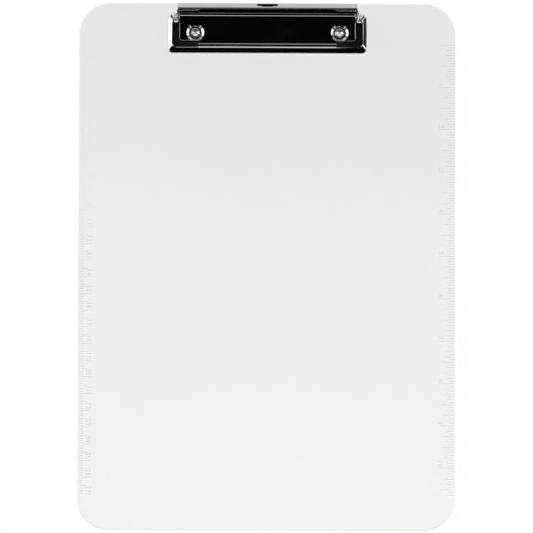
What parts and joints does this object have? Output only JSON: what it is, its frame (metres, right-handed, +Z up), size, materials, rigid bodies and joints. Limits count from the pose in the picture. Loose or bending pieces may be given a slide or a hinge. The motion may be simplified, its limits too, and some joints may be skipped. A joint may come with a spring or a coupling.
{
  "type": "clipboard",
  "caption": "Clear moulded clipboard with a low-profile sprung steel clip: a hinged pressed jaw on a riveted base plate with a hanging slot.",
  "frame": {"origin": "middle of the board's flat underside", "axes": "+Z up out of the writing face, +Y along the board towards the clip, +X to the right"},
  "size_m": [0.226, 0.316, 0.0095],
  "materials": {
    "clear_board": "clear moulded polystyrene, slightly grey, glossy",
    "chromed_steel": "bright nickel-chrome plate",
    "rivet_steel": "nickel-plated, lightly tumbled",
    "spring_wire": "bright drawn spring wire"
  },
  "bodies": {
    "board_assembly": {"board": "clear_board", "base_plate": "chromed_steel", "left_rivet": "rivet_steel", "right_rivet": "rivet_steel", "left_back_washer": "rivet_steel", "right_back_washer": "rivet_steel", "left_pivot_pin": "rivet_steel", "right_pivot_pin": "rivet_steel", "left_torsion_spring": "spring_wire", "right_torsion_spring": "spring_wire"},
    "lever": {"lever": "chromed_steel"}
  },
  "joints": [
    {"name": "lever_hinge", "type": "hinge", "parent": "board_assembly", "child": "lever", "pos_m": [0, 0.1492, 0.00645], "axis": [-1, 0, 0], "range_deg": [0, 90], "stiffness_Nm_per_rad": 0.08, "springref_deg": -45.84, "deforming": ["left_torsion_spring", "right_torsion_spring"]}
  ]
}
